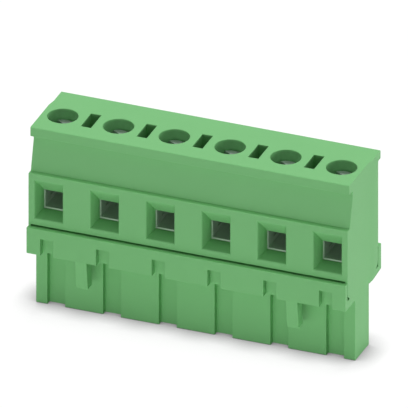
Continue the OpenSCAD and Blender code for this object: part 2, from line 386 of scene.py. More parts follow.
def strip_of(path: Sequence[Vector], width: Vector, thickness: float, bend: float) -> BMesh:
    """Bends a strip of even thickness along a path.

    Args:
        path: Corners of the strip's outer face, seen from its edge.
        width: Way across the strip.
        thickness: Thickness of the strip.
        bend: Outer radius of its bends.

    Returns:
        A closed mesh.
    """
    bm = bmesh.new()
    verts = [bm.verts.new(point) for point in path]
    edges = [bm.edges.new(pair) for pair in zip(verts, verts[1:])]
    made = bmesh.ops.extrude_edge_only(bm, edges=edges)
    moved = [item for item in made["geom"] if isinstance(item, BMVert)]
    bmesh.ops.translate(bm, vec=width, verts=moved)
    bmesh.ops.recalc_face_normals(bm, faces=bm.faces)
    folds = [e for e in bm.edges if not e.is_boundary and turn_angle(e) > CRISP_ANGLE]
    bmesh.ops.bevel(
        bm,
        geom=folds,
        offset=bend,
        segments=FOLD_STEPS,
        profile=0.5,
        affect="EDGES",
        material=-1,
        clamp_overlap=False,
    )
    bmesh.ops.solidify(bm, geom=bm.faces, thickness=thickness)
    bmesh.ops.recalc_face_normals(bm, faces=bm.faces)
    return bm


def combined(body: BMesh, tool: BMesh, how: Join) -> BMesh:
    """Combines two closed shapes and frees both.

    Args:
        body: Shape that is worked on.
        tool: Shape that cuts it or is welded to it.
        how: Way to combine them.

    Returns:
        The new shape.
    """
    holders = []
    for name, bm in (("worked", body), ("tool", tool)):
        mesh = bpy.data.meshes.new(name)
        bm.to_mesh(mesh)
        bm.free()
        holder = bpy.data.objects.new(name, mesh)
        bpy.context.scene.collection.objects.link(holder)
        holders.append(holder)
    worked, cutter = holders
    step = worked.modifiers.new(how.name, "BOOLEAN")
    step.operation = how.value
    step.solver = "EXACT"
    step.object = cutter
    view = bpy.context.evaluated_depsgraph_get()
    mesh = bpy.data.meshes.new_from_object(worked.evaluated_get(view))
    result = bmesh.new()
    result.from_mesh(mesh)
    bpy.data.meshes.remove(mesh)
    for holder in holders:
        data = holder.data
        bpy.data.objects.remove(holder)
        bpy.data.meshes.remove(data)
    return result


def nested_bar(profile: Profile, row: Row, end_roll: float) -> BMesh:
    """Makes a bar as long as the row, with the nesting step in both of its ends.

    Args:
        profile: Corners (y, z), each with an optional radius.
        row: Places of the row.
        end_roll: Radius of the rolled edges round the ends.

    Returns:
        A closed mesh.
    """
    bm = bar_of(profile, row.left + row.nest_step, row.length - row.nest_step)
    for depth in (row.nest_y, row.nest_y + row.nest_ramp):
        geom = [*bm.verts, *bm.edges, *bm.faces]
        place = Vector((0, depth, 0))
        bmesh.ops.bisect_plane(bm, geom=geom, dist=ON_PLANE, plane_co=place, plane_no=(0, 1, 0))
    middle = row.left + row.length / 2
    for vert in bm.verts:
        share = min(max((vert.co.y - row.nest_y) / row.nest_ramp, 0.0), 1.0)
        vert.co.x += row.nest_step * (share if vert.co.x > middle else share - 1)
    # The normals follow the moved ends first, so that the ramps aren't taken for flat
    bm.normal_update()
    bmesh.ops.dissolve_limit(bm, angle_limit=FLAT_ANGLE, verts=bm.verts, edges=bm.edges)

    def at_an_end(edge: BMEdge) -> bool:
        """Picks the edges that are rolled.

        Args:
            edge: Edge of the bar.

        Returns:
            Whether it belongs to an end of the bar, and isn't where the shells meet.
        """
        reach = abs((edge.verts[0].co.x + edge.verts[1].co.x) / 2 - middle)
        meets = all(abs(vert.co.z - row.floor) < SAME_POINT for vert in edge.verts)
        return reach > row.length / 2 - 2 * row.nest_step and not meets

    roll_edges(bm, end_roll, at_an_end)
    return bm


# Finishes


def linear(hex_colour: str) -> Colour:
    """Turns an sRGB hex colour into a linear one.

    Args:
        hex_colour: Colour such as #79C07A.

    Returns:
        The linear colour, with full alpha.
    """
    values = [int(hex_colour[k : k + 2], 16) / 255 for k in (1, 3, 5)]
    bright = [v / 12.92 if v <= 0.04045 else ((v + 0.055) / 1.055) ** 2.4 for v in values]
    return (*bright, 1.0)


def per_metre(size: float) -> float:
    """Returns the texture scale whose cells have a size given in millimetres."""
    return 1 / (size * MM)


def add_node(
    tree: bpy.types.NodeTree,
    kind: str,
    settings: dict[str, object] | None = None,
    inputs: dict[str | int, object] | None = None,
) -> bpy.types.Node:
    """Adds a node to a tree with its settings and links.

    Args:
        tree: Node tree of a material or the world.
        kind: Blender's name for the node.
        settings: Properties of the node.
        inputs: Values of its input sockets, or output sockets to link to them.

    Returns:
        The node.
    """
    node = tree.nodes.new(kind)
    for name, value in (settings or {}).items():
        setattr(node, name, value)
    for key, value in (inputs or {}).items():
        if isinstance(value, bpy.types.NodeSocket):
            tree.links.new(value, node.inputs[key])
        else:
            node.inputs[key].default_value = value
    return node


def blank_material(name: str) -> bpy.types.Material:
    """Makes a material with an empty node tree.

    Args:
        name: Name of the material.

    Returns:
        The material.
    """
    material = bpy.data.materials.new(name)
    material.use_nodes = True
    material.node_tree.nodes.clear()
    return material


def seen_rays(tree: bpy.types.NodeTree) -> bpy.types.NodeSocket:
    """Adds the test for rays by which the eye sees a surface, straight or in a reflection.

    Args:
        tree: Node tree of a material or the world.

    Returns:
        Output that is one for such rays and zero for the rest.
    """
    path = add_node(tree, "ShaderNodeLightPath").outputs
    share = path["Is Camera Ray"]
    for kind in ("Is Glossy Ray", "Is Transmission Ray"):
        inputs = {0: share, 1: path[kind]}
        share = add_node(tree, "ShaderNodeMath", {"operation": "MAXIMUM"}, inputs).outputs["Value"]
    return share


@dataclass(frozen=True)
class Finish(ABC):
    """What all finishes share: a tone, a gloss and a fine relief that follow noises.

    Each kind of finish says how its noises lie on the surface.
    """

    name: str
    colour: str
    roughness: tuple[float, float]

    @abstractmethod
    def noises(
        self, tree: bpy.types.NodeTree, place: bpy.types.NodeSocket
    ) -> tuple[bpy.types.NodeSocket, bpy.types.NodeSocket]:
        """Adds the noises.

        Args:
            tree: Node tree of the material.
            place: Place on the piece, in metres.

        Returns:
            The noise of the tone, and the one of gloss and relief.
        """

    @abstractmethod
    def dark(self) -> Colour:
        """Returns the darker of the two tones."""

    @abstractmethod
    def relief(self) -> tuple[float, float]:
        """Returns the strength of the relief, and its depth in millimetres."""

    @abstractmethod
    def constants(self) -> dict[str, float]:
        """Returns what is the same all over the surface."""

    def material(self) -> bpy.types.Material:
        """Builds the material.

        Returns:
            The material.
        """
        material = blank_material(self.name)
        tree = material.node_tree
        place = add_node(tree, "ShaderNodeTexCoord").outputs["Object"]
        tone, grain = self.noises(tree, place)
        tint = add_node(
            tree,
            "ShaderNodeMix",
            {"data_type": "RGBA"},
            {"Factor": tone, "A": self.dark(), "B": linear(self.colour)},
        )
        gloss = add_node(
            tree,
            "ShaderNodeMapRange",
            None,
            {
                "Value": grain,
                "From Min": NOISE_RANGE[0],
                "From Max": NOISE_RANGE[1],
                "To Min": self.roughness[0],
                "To Max": self.roughness[1],
            },
        )
        strength, depth = self.relief()
        bump = add_node(
            tree,
            "ShaderNodeBump",
            None,
            {"Strength": strength, "Distance": depth * MM, "Height": grain},
        )
        shader = add_node(
            tree,
            "ShaderNodeBsdfPrincipled",
            None,
            {
                "Base Color": tint.outputs["Result"],
                "Roughness": gloss.outputs["Result"],
                "Normal": bump.outputs["Normal"],
                **self.constants(),
            },
        )
        add_node(tree, "ShaderNodeOutputMaterial", None, {"Surface": shader.outputs["BSDF"]})
        return material


@dataclass(frozen=True)
class MouldedPolyamide(Finish):
    """Polyamide 6.6, dyed in the mass and injection moulded in a spark-eroded tool.

    It gives the eye an even, satin colour with a fine pearl that only breaks up the gloss.
    """

    shade: str
    # The tool's texture has grains of some 0.05 mm, drawn coarser so that they show
    grain: float = 0.16
    grain_depth: float = 0.0015
    grain_strength: float = 0.5
    # Clouds in the dye along the flow of the melt
    cloud: float = 7.0
    ior: float = 1.53
    specular: float = 0.38

    def noises(
        self, tree: bpy.types.NodeTree, place: bpy.types.NodeSocket
    ) -> tuple[bpy.types.NodeSocket, bpy.types.NodeSocket]:
        """Adds the clouds of the dye and the grains of the tool.

        Args:
            tree: Node tree of the material.
            place: Place on the piece, in metres.

        Returns:
            The clouds and the grains.
        """
        clouds = add_node(
            tree,
            "ShaderNodeTexNoise",
            {"noise_dimensions": "3D"},
            {"Vector": place, "Scale": per_metre(self.cloud), "Detail": 3.0, "Roughness": 0.55},
        )
        grains = add_node(
            tree,
            "ShaderNodeTexNoise",
            {"noise_dimensions": "3D"},
            {"Vector": place, "Scale": per_metre(self.grain), "Detail": 2.0, "Roughness": 0.6},
        )
        return clouds.outputs["Fac"], grains.outputs["Fac"]

    def dark(self) -> Colour:
        """Returns the colour of the darker clouds."""
        return linear(self.shade)

    def relief(self) -> tuple[float, float]:
        """Returns the strength and the depth of the grains."""
        return self.grain_strength, self.grain_depth

    def constants(self) -> dict[str, float]:
        """Returns the sheen of the bare plastic."""
        return {"IOR": self.ior, "Specular IOR Level": self.specular}


@dataclass(frozen=True)
class PlatedMetal(Finish):
    """Plated metal with fine drawing or stamping lines along one axis.

    It gives the eye a grey shine that streaks along the lines.
    """

    # Stretch of the lines along X, Y and Z, relative to their width
    lines: tuple[float, float, float]
    metallic: float = 1.0
    line_width: float = 0.12
    line_depth: float = 0.003
    line_strength: float = 0.4
    # Tone at the bottom of the lines, relative to the colour
    line_tone: float = 0.86

    def noises(
        self, tree: bpy.types.NodeTree, place: bpy.types.NodeSocket
    ) -> tuple[bpy.types.NodeSocket, bpy.types.NodeSocket]:
        """Adds the lines, which the tone and the gloss share.

        Args:
            tree: Node tree of the material.
            place: Place on the piece, in metres.

        Returns:
            The lines, twice.
        """
        stretched = add_node(
            tree,
            "ShaderNodeMapping",
            None,
            {"Vector": place, "Scale": tuple(1 / share for share in self.lines)},
        ).outputs["Vector"]
        streaks = add_node(
            tree,
            "ShaderNodeTexNoise",
            {"noise_dimensions": "3D"},
            {"Vector": stretched, "Scale": per_metre(self.line_width), "Detail": 3.0},
        )
        return streaks.outputs["Fac"], streaks.outputs["Fac"]

    def dark(self) -> Colour:
        """Returns the colour at the bottom of the lines."""
        return (*(self.line_tone * part for part in linear(self.colour)[:3]), 1.0)

    def relief(self) -> tuple[float, float]:
        """Returns the strength and the depth of the lines."""
        return self.line_strength, self.line_depth

    def constants(self) -> dict[str, float]:
        """Returns how metallic the plating is."""
        return {"Metallic": self.metallic}


# The upper shell's green, a little lighter than the carrier's
HOUSING_GREEN = MouldedPolyamide(
    "moulded_polyamide_green", "#79C07A", (0.5, 0.58), "#75BC76"
)
# The carrier is moulded from another batch of the same green
CARRIER_GREEN = MouldedPolyamide(
    "moulded_polyamide_carrier_green", "#78C079", (0.5, 0.58), "#74BC75"
)
# Turned steel screws, blue passivated zinc: cool light grey, slightly milky
ZINC_PLATED_STEEL = PlatedMetal(
    "zinc_plated_turned_steel", "#C9CCCE", (0.28, 0.4), (1.0, 1.0, 1.0)
)
# Sleeves of drawn steel strip, dull nickel plated: a satin grey, tinted green as a painted
# reflection of the green shells round them
NICKEL_STEEL_PAINTED_GREEN_REFLECTION = PlatedMetal(
    "nickel_steel_painted_green_reflection", "#B9D2BB", (0.3, 0.42), (1.0, 14.0, 1.0), 0.3
)
# Contacts of stamped bronze strip, tinned: pale and matt
TINNED_BRONZE = PlatedMetal(
    "tin_plated_stamped_bronze", "#B9C6B9", (0.42, 0.54), (1.0, 1.0, 12.0), 0.6
)


# Pieces


def piece_of(
    name: str,
    bm: BMesh,
    finish: Finish,
    body: str,
    stands_for: Iterable[str],
) -> bpy.types.Object:
    """Turns a finished mesh, drawn in millimetres, into a piece of the part.

    Args:
        name: Name of the piece.
        bm: Its mesh, which is freed.
        finish: Its finish, whose material all pieces of that finish share.
        body: CAD body that it rides on.
        stands_for: CAD nodes that it replaces.

    Returns:
        The piece, at the origin, in metres.
    """
    bmesh.ops.remove_doubles(bm, verts=bm.verts, dist=SAME_POINT)
    bmesh.ops.scale(bm, vec=(MM, MM, MM), verts=bm.verts)
    for face in bm.faces:
        face.smooth = True
    for edge in bm.edges:
        edge.smooth = turn_angle(edge) < CRISP_ANGLE
    mesh = bpy.data.meshes.new(name)
    bm.to_mesh(mesh)
    bm.free()
    mesh.materials.append(bpy.data.materials.get(finish.name) or finish.material())
    piece = bpy.data.objects.new(name, mesh)
    bpy.context.scene.collection.objects.link(piece)
    even = piece.modifiers.new("Flat faces shade flat", "WEIGHTED_NORMAL")
    even.keep_sharp = True
    even.weight = 100
    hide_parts(*stands_for)
    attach(piece, body)
    LOG.info("%s: %d faces, rides on %s", name, len(mesh.polygons), body)
    return piece


@dataclass(frozen=True)
class Row:
    """Planes and places that the pieces share, in millimetres, read from the CAD frame.

    Fields that end in front, back or y are places from front to back, and top, floor, head_top
    and screw_tip are heights.
    """

    pole_x: tuple[float, ...]
    axis_y: float
    left: float
    length: float
    top: float
    floor: float
    wall_front: float
    top_back: float
    plate_front: float
    plate_back: float
    head_top: float
    screw_tip: float
    sleeve_low: Vector
    sleeve_high: Vector
    # Step in both ends, by which neighbouring blocks nest, and the ramp that leads over it
    nest_step: float = 0.2
    nest_behind: float = 2.22
    nest_ramp: float = 1.2
    seam_above_floor: float = 2.55

    @classmethod
    def from_frame(cls, poles: int) -> Row:
        """Reads the row from the boxes of the CAD nodes.

        Args:
            poles: Number of poles.

        Returns:
            The row.
        """

        def corners(node: str) -> list[Vector]:
            """Returns the lowest and the highest corner of a CAD node, in millimetres."""
            return [Vector(corner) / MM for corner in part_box(node)]

        screws = [corners(f"screw_{number}") for number in range(1, poles + 1)]
        low, high = corners("screw_housing")
        plate_low, plate_high = corners("contact_carrier")
        sleeve_low, sleeve_high = corners("sleeve_1")
        return cls(
            pole_x=tuple((a.x + b.x) / 2 for a, b in screws),
            axis_y=(screws[0][0].y + screws[0][1].y) / 2,
            left=low.x,
            length=high.x - low.x - cls.nest_step,
            top=high.z,
            floor=low.z,
            wall_front=low.y,
            top_back=high.y,
            plate_front=plate_low.y,
            plate_back=plate_high.y,
            head_top=screws[0][1].z,
            screw_tip=screws[0][0].z,
            sleeve_low=sleeve_low,
            sleeve_high=sleeve_high,
        )

    @property
    def nest_y(self) -> float:
        """Place of the nesting step from front to back."""
        return self.axis_y + self.nest_behind

    @property
    def pitch(self) -> float:
        """Distance between neighbouring poles."""
        return self.pole_x[1] - self.pole_x[0]

    @property
    def seam(self) -> float:
        """Height of the seam between the shells, at the front."""
        return self.floor + self.seam_above_floor

    def axis(self, number: int) -> Vector:
        """Returns the place of a pole's axis, at height zero."""
        return Vector((self.pole_x[number - 1], self.axis_y, 0))

    def blocks(
        self,
        bm: BMesh,
        half_width: float,
        depths: tuple[float, float],
        heights: tuple[float, float],
    ) -> None:
        """Adds a block at each pole.

        Args:
            bm: Mesh that takes the blocks.
            half_width: Half of a block's width.
            depths: Place of its front and its back.
            heights: Height of its bottom and its top.
        """
        for x in self.pole_x:
            low = (x - half_width, depths[0], heights[0])
            high = (x + half_width, depths[1], heights[1])
            block(bm, low, high)


@dataclass(frozen=True)
class ScrewHousing:
    """Upper shell: conductor entries, driver holes, sleeve chambers and top slots."""

    row: Row
    # Cross-section: lips round the top, slope and ledge over the conductor entries
    lip_front: float = 1.37
    lip_back: float = 1.2
    top_setback: float = 0.665
    top_overhang: float = 0.82
    undercut: float = 1.16
    slope_drop: float = 2.3
    ledge: float = 0.815
    ledge_below_top: float = 6.34
    edge_radius: float = 0.15
    end_radius: float = 0.09
    # Gap where the plates of the tray meet this shell, closed shortly before both ends
    back_seam_rise: float = 0.3
    seam_height: float = 0.24
    seam_depth: float = 0.6
    seam_end: float = 0.3
    seam_lap: float = 0.15
    # Foot that sits in the tray
    fit_gap: float = 0.1
    seat_chamfer: float = 0.2
    seat_notch: float = 0.7
    seat_notch_length: float = 1.5
    # Conductor entries, from their wide mouths to the throats before the sleeves
    entry_half_width: float = 1.95
    entry_bottom_above_seam: float = 1.1
    entry_height: float = 5.55
    entry_rim: float = 0.2
    entry_bell: float = 1.6
    entry_steps: int = 6
    throat_half_width: float = 1.45
    throat_low: float = 14.12
    throat_high: float = 16.8
    # Chambers of the sleeves, with channels behind them for the contacts' legs
    chamber_half_width: float = 2.05
    chamber_half_depth: float = 2.8
    chamber_top: float = 22.95
    channel_half_width: float = 1.3
    channel_depth: float = 3.6
    channel_top: float = 17.4
    # Driver holes, and the slots between them
    bore_radius: float = 2.0
    slot_half_width: float = 0.7
    slot_half_length: float = 1.825
    slot_behind: float = 0.12
    slot_depth: float = 9.0
    rim_radius: float = 0.1
    # Pockets behind the latch notches
    pocket_half_width: float = 0.875
    pocket_height: float = 1.21
    pocket_depth: float = 0.3

    def outline(self) -> Profile:
        """Draws the cross-section.

        Returns:
            Its corners, with the radius of each rounded one.
        """
        row, r = self.row, self.edge_radius
        front = row.wall_front
        back = row.top_back - self.top_overhang
        top_front = front + self.top_setback
        ledge_z = row.top - self.ledge_below_top
        seam = row.seam
        back_seam = seam + self.back_seam_rise
        foot_front, foot_back = front + self.fit_gap, back - self.fit_gap
        return [
            (top_front, row.top, r),
            (top_front, row.top - self.lip_front, r),
            (top_front + self.undercut, row.top - self.lip_front, r),
            (top_front + self.undercut, row.top - self.slope_drop),
            (front + self.ledge, ledge_z, r / 2),
            (front, ledge_z, r),
            (front, seam),
            (foot_front, seam),
            (foot_front, row.floor + self.seat_chamfer),
            (foot_front + self.seat_chamfer, row.floor),
            (foot_back - self.seat_chamfer, row.floor),
            (foot_back, row.floor + self.seat_chamfer),
            (foot_back, back_seam),
            (back, back_seam),
            (back, row.top - self.lip_back, r),
            (row.top_back, row.top - self.lip_back, r),
            (row.top_back, row.top, r),
        ]

    def entries(self) -> BMesh:
        """Shapes the conductor entries, with rolled mouths and sides that flare like a bell.

        Returns:
            The shapes to cut out.
        """
        row, rim, steps = self.row, self.entry_rim, self.entry_steps
        low = row.seam + self.entry_bottom_above_seam
        high = low + self.entry_height
        depth = row.axis_y - self.chamber_half_depth - row.wall_front
        # Depth of each section, and the width that the roll of the mouth adds to it
        turns = [math.pi / 2 * step / steps for step in range(steps)]
        sections = [(rim * (1 - math.cos(t)), rim * (1 - math.sin(t))) for t in turns]
        sections += [(rim + (depth - rim) * step / steps, 0.0) for step in range(steps + 1)]
        bm = bmesh.new()
        for x in row.pole_x:
            stations = []
            for sunk, grown in sections:
                to_go = 1 - sunk / depth
                bell = to_go**self.entry_bell
                half = self.throat_half_width
                half += (self.entry_half_width - self.throat_half_width) * bell
                bottom = self.throat_low + (low - self.throat_low) * bell
                top = self.throat_high + (high - self.throat_high) * to_go
                at = row.wall_front + sunk
                stations.append(Opening(at, (x - half, bottom), (x + half, top)).grown(grown))
            before = replace(stations[0], at=row.wall_front - OVER)
            past = replace(stations[-1], at=row.wall_front + depth + OVER / 2)
            loft(bm, Axis.BACKWARD, [before, *stations, past])
        return bm

    def mouths(self) -> BMesh:
        """Shapes the top slots, the latch pockets and the gaps at the seam.

        Returns:
            The shapes to cut out.
        """
        row, front = self.row, self.row.wall_front
        bm = bmesh.new()
        slot_y = row.axis_y + self.slot_behind
        for x in row.pole_x[:-1]:
            middle = x + row.pitch / 2
            low = (middle - self.slot_half_width, slot_y - self.slot_half_length)
            high = (middle + self.slot_half_width, slot_y + self.slot_half_length)
            mouth = Opening(row.top, low, high)
            end = Opening(row.top - self.slot_depth, low, high)
            passage(bm, Axis.DOWNWARD, mouth, end, self.rim_radius)
        depths = (front - OVER, front + self.pocket_depth)
        heights = (row.floor - OVER, row.floor + self.pocket_height)
        row.blocks(bm, self.pocket_half_width, depths, heights)
        first, last = row.left + self.seam_end, row.left + row.length - self.seam_end
        back = row.top_back - self.top_overhang
        for seam, near, far in (
            (row.seam, front - OVER, front + self.seam_depth),
            (row.seam + self.back_seam_rise, back - self.seam_depth, back + OVER),
        ):
            block(bm, (first, near, seam - self.seam_lap), (last, far, seam + self.seam_height))
        return bm

    def driver_holes(self) -> BMesh:
        """Shapes the round holes for the driver, with their rolled rims.

        Returns:
            The shapes to cut out.
        """
        row, rim = self.row, self.rim_radius
        bm = bmesh.new()
        rolled = []
        for step in range(ROLL_STEPS + 1):
            angle = math.pi / 2 * step / ROLL_STEPS
            rolled.append(
                (self.bore_radius + rim * (1 - math.sin(angle)), -rim * (1 - math.cos(angle)))
            )
        bottom = self.chamber_top - OVER / 2 - row.top
        outline = [
            (0, OVER),
            (self.bore_radius + rim, OVER),
            *rolled,
            (self.bore_radius, bottom),
            (0, bottom),
        ]
        for x in row.pole_x:
            turned(bm, outline, Vector((x, row.axis_y, row.top)))
        return bm

    def seat_notches(self) -> BMesh:
        """Shapes the notches in the lower corners of both ends, which clear the tray.

        Returns:
            The shapes to cut out.
        """
        row, size, length = self.row, self.seat_notch, self.seat_notch_length
        back = row.top_back - self.top_overhang - self.fit_gap
        bm = bmesh.new()
        for foot, inwards in ((row.wall_front + self.fit_gap, 1), (back, -1)):
            profile = [
                (foot - inwards * OVER, row.floor - OVER),
                (foot + inwards * (size + OVER), row.floor - OVER),
                (foot - inwards * OVER, row.floor + size + OVER),
            ]
            for start in (row.left - OVER, row.left + row.length - length):
                absorb(bm, bar_of(profile, start, length + OVER))
        return bm

    def chambers(self) -> BMesh:
        """Shapes the chambers in which the sleeves rise.

        Returns:
            The shapes to cut out.
        """
        row = self.row
        bm = bmesh.new()
        depths = (row.axis_y - self.chamber_half_depth, row.axis_y + self.chamber_half_depth)
        row.blocks(bm, self.chamber_half_width, depths, (row.floor - OVER, self.chamber_top))
        return bm

    def channels(self) -> BMesh:
        """Shapes the channels behind the chambers for the contacts' legs.

        Returns:
            The shapes to cut out.
        """
        row = self.row
        bm = bmesh.new()
        depths = (row.axis_y, row.axis_y + self.channel_depth)
        row.blocks(bm, self.channel_half_width, depths, (row.floor - OVER, self.channel_top))
        return bm

    def build(self) -> bpy.types.Object:
        """Builds the shell and dresses it.

        Returns:
            The piece.
        """
        bm = nested_bar(self.outline(), self.row, self.end_radius)
        tools = (
            self.entries(),
            self.mouths(),
            self.driver_holes(),
            self.seat_notches(),
            self.chambers(),
            self.channels(),
        )
        for tool in tools:
            bm = combined(bm, tool, Join.CUT)
        return piece_of(
            "upper_shell", bm, HOUSING_GREEN, SHELLS, ["screw_housing"]
        )


@dataclass(frozen=True)
class ContactCarrier:
    """Lower shell: tray, latching hooks, and the nose with its spring cavities."""

    row: Row
    # Cross-section: tray with a front and a back plate, and the nose below it
    nose_height: float = 8.73
    nose_front: float = -2.28
    nose_back: float = 2.45
    back_rise: float = 0.3
    under_rise: float = 0.4
    front_plate: float = 0.7
    back_plate: float = 1.02
    edge_radius: float = 0.15
    seam_radius: float = 0.05
    end_radius: float = 0.09
    # Grooves down the nose, and the latch notches above them
    groove_half_width: float = 1.22
    groove_depth: float = 0.83
    notch_half_width: float = 0.875
    notch_height: float = 2.38
    notch_depth: float = 1.0
    rim_radius: float = 0.08
    # Latching hooks
    hook_half_width: float = 0.8
    hook_length: float = 3.93
    hook_root: float = 1.75
    hook_tip: float = 1.5
    hook_lean: float = 0.5
    hook_inset: float = 7.4
    hook_sink: float = 0.6
    # Cavities of the springs, and the flared holes for the header's pins
    spring_behind: float = 0.5
    cavity_half_width: float = 1.55
    cavity_half_depth: float = 1.35
    nose_bottom: float = 1.2
    pin_half_width: float = 0.7
    pin_flare: float = 0.35
    pin_flare_past: float = 0.2
    # Posts on which the lowered sleeves rest
    stop_half_width: float = 1.85
    stop_front: float = 2.6
    stop_thickness: float = 1.0
    stop_top: float = 13.44
    stop_sink: float = 0.6

    def outline(self) -> Profile:
        """Draws the cross-section of the tray and the nose together.

        Returns:
            Its corners, with the radius of each rounded one.
        """
        row, r = self.row, self.edge_radius
        back_wall = row.plate_back - self.back_plate
        front_wall = row.plate_front + self.front_plate
        top_back = row.seam + self.back_rise
        nose_front = row.axis_y + self.nose_front
        nose_back = row.axis_y + self.nose_back
        return [
            (row.plate_front, row.seam, self.seam_radius),
            (row.plate_front, self.nose_height, r),
            (nose_front, self.nose_height),
            (nose_front, 0.0, r),
            (nose_back, 0.0, r),
            (nose_back, self.nose_height),
            (row.plate_back, self.nose_height + self.under_rise, r),
            (row.plate_back, top_back, self.seam_radius),
            (back_wall, top_back),
            (back_wall, row.floor),
            (front_wall, row.floor),
            (front_wall, row.seam),
        ]

    def hooks(self) -> BMesh:
        """Shapes the two latching hooks.

        Returns:
            The shapes to weld on.
        """
        row = self.row
        front = row.plate_front
        root, tip = self.nose_height + self.hook_sink, self.nose_height - self.hook_length
        profile = [
            (front, root),
            (front, self.nose_height),
            (front + self.hook_lean, tip),
            (front + self.hook_lean + self.hook_tip, tip),
            (front + self.hook_root, self.nose_height),
            (front + self.hook_root, root),
        ]
        both = bmesh.new()
        for middle in (row.left + self.hook_inset, row.left + row.length - self.hook_inset):
            hook = bar_of(profile, middle - self.hook_half_width, 2 * self.hook_half_width)
            roll_edges(hook, self.rim_radius)
            absorb(both, hook)
        return both

    def stops(self) -> BMesh:
        """Shapes the posts under the sleeves.

        Returns:
            The shapes to weld on.
        """
        row = self.row
        bm = bmesh.new()
        front = row.axis_y - self.stop_front
        heights = (row.floor - self.stop_sink, self.stop_top)
        row.blocks(bm, self.stop_half_width, (front, front + self.stop_thickness), heights)
        return bm

    def front_cuts(self) -> BMesh:
        """Shapes the grooves down the nose and the latch notches.

        Returns:
            The shapes to cut out.
        """
        row = self.row
        bm = bmesh.new()
        nose_front = row.axis_y + self.nose_front
        for x in row.pole_x:
            low, high = x - self.groove_half_width, x + self.groove_half_width
            mouth = Opening(nose_front, (low, -OVER), (high, self.nose_height))
            end = Opening(nose_front + self.groove_depth, mouth.low, mouth.high)
            passage(bm, Axis.BACKWARD, mouth, end, rolled=0)
            low, high = x - self.notch_half_width, x + self.notch_half_width
            top = self.nose_height + self.notch_height
            mouth = Opening(row.plate_front, (low, self.nose_height - OVER), (high, top))
            end = Opening(row.plate_front + self.notch_depth, mouth.low, mouth.high)
            passage(bm, Axis.BACKWARD, mouth, end, self.rim_radius)
        return bm

    def cavities(self) -> BMesh:
        """Shapes the spring cavities.

        Returns:
            The shapes to cut out.
        """
        row = self.row
        bm = bmesh.new()
        middle = row.axis_y + self.spring_behind
        depths = (middle - self.cavity_half_depth, middle + self.cavity_half_depth)
        row.blocks(bm, self.cavity_half_width, depths, (self.nose_bottom, row.floor + OVER))
        return bm

    def pin_entries(self) -> BMesh:
        """Shapes the flared square holes for the header's pins.

        Returns:
            The shapes to cut out.
        """
        row = self.row
        bm = bmesh.new()
        middle = row.axis_y + self.spring_behind
        half = self.pin_half_width
        for x in row.pole_x:
            inner = Opening(self.pin_flare, (x - half, middle - half), (x + half, middle + half))
            outer = Opening(0, inner.low, inner.high).grown(self.pin_flare)
            past = outer.towards(inner, -self.pin_flare_past)
            end = Opening(self.nose_bottom + OVER, inner.low, inner.high)
            loft(bm, Axis.UPWARD, [past, inner, end])
        return bm

    def build(self) -> bpy.types.Object:
        """Builds the shell and dresses it.

        Returns:
            The piece.
        """
        bm = nested_bar(self.outline(), self.row, self.end_radius)
        for tool in (self.hooks(), self.stops()):
            bm = combined(bm, tool, Join.WELD)
        for tool in (self.front_cuts(), self.cavities(), self.pin_entries()):
            bm = combined(bm, tool, Join.CUT)
        return piece_of(
            "lower_shell", bm, CARRIER_GREEN, SHELLS, ["contact_carrier"]
        )


